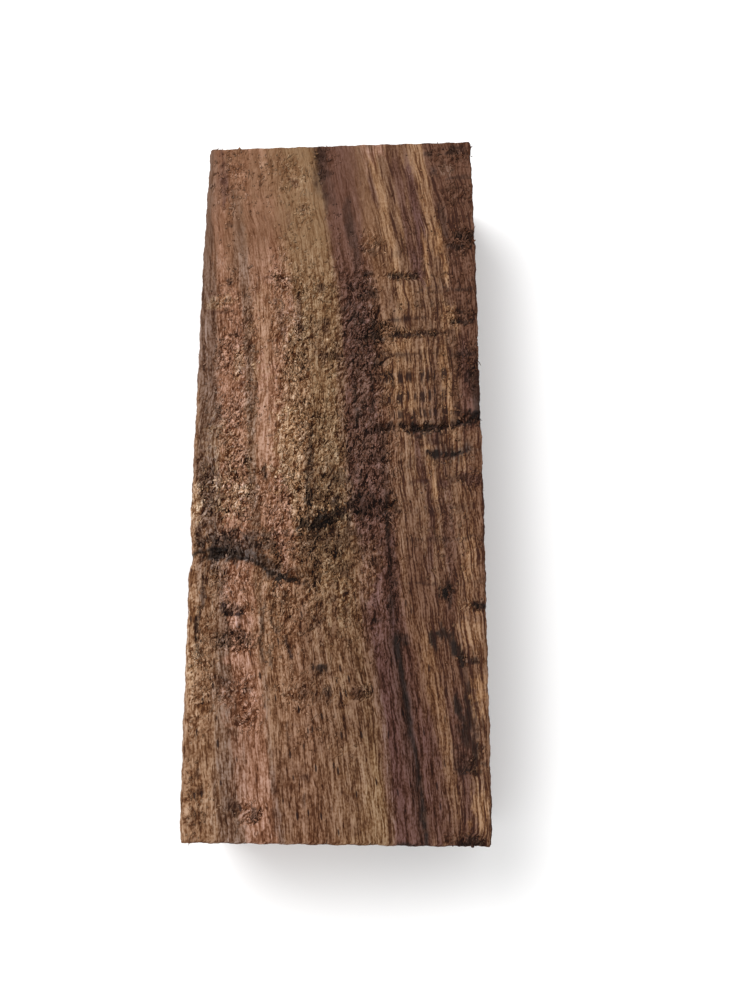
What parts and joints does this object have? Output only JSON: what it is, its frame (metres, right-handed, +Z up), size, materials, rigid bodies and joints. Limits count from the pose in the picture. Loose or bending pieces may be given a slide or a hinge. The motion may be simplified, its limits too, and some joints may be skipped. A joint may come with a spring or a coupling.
{
  "type": "knife handle block",
  "caption": "Rough-sawn rectangular block of curly koa wood for making a knife handle, with torn grain, checks and a worn arris.",
  "frame": {"origin": "under the middle of the block, on the flat underside that it rests on", "axes": "+Y along the grain and the length, +X across the width, +Z up through the thickness"},
  "size_m": [0.052, 0.1274, 0.0256],
  "materials": {
    "sawn_koa": "dry, rough-sawn and unfinished"
  },
  "bodies": {
    "root": {"koa_block": "sawn_koa"}
  },
  "joints": []
}
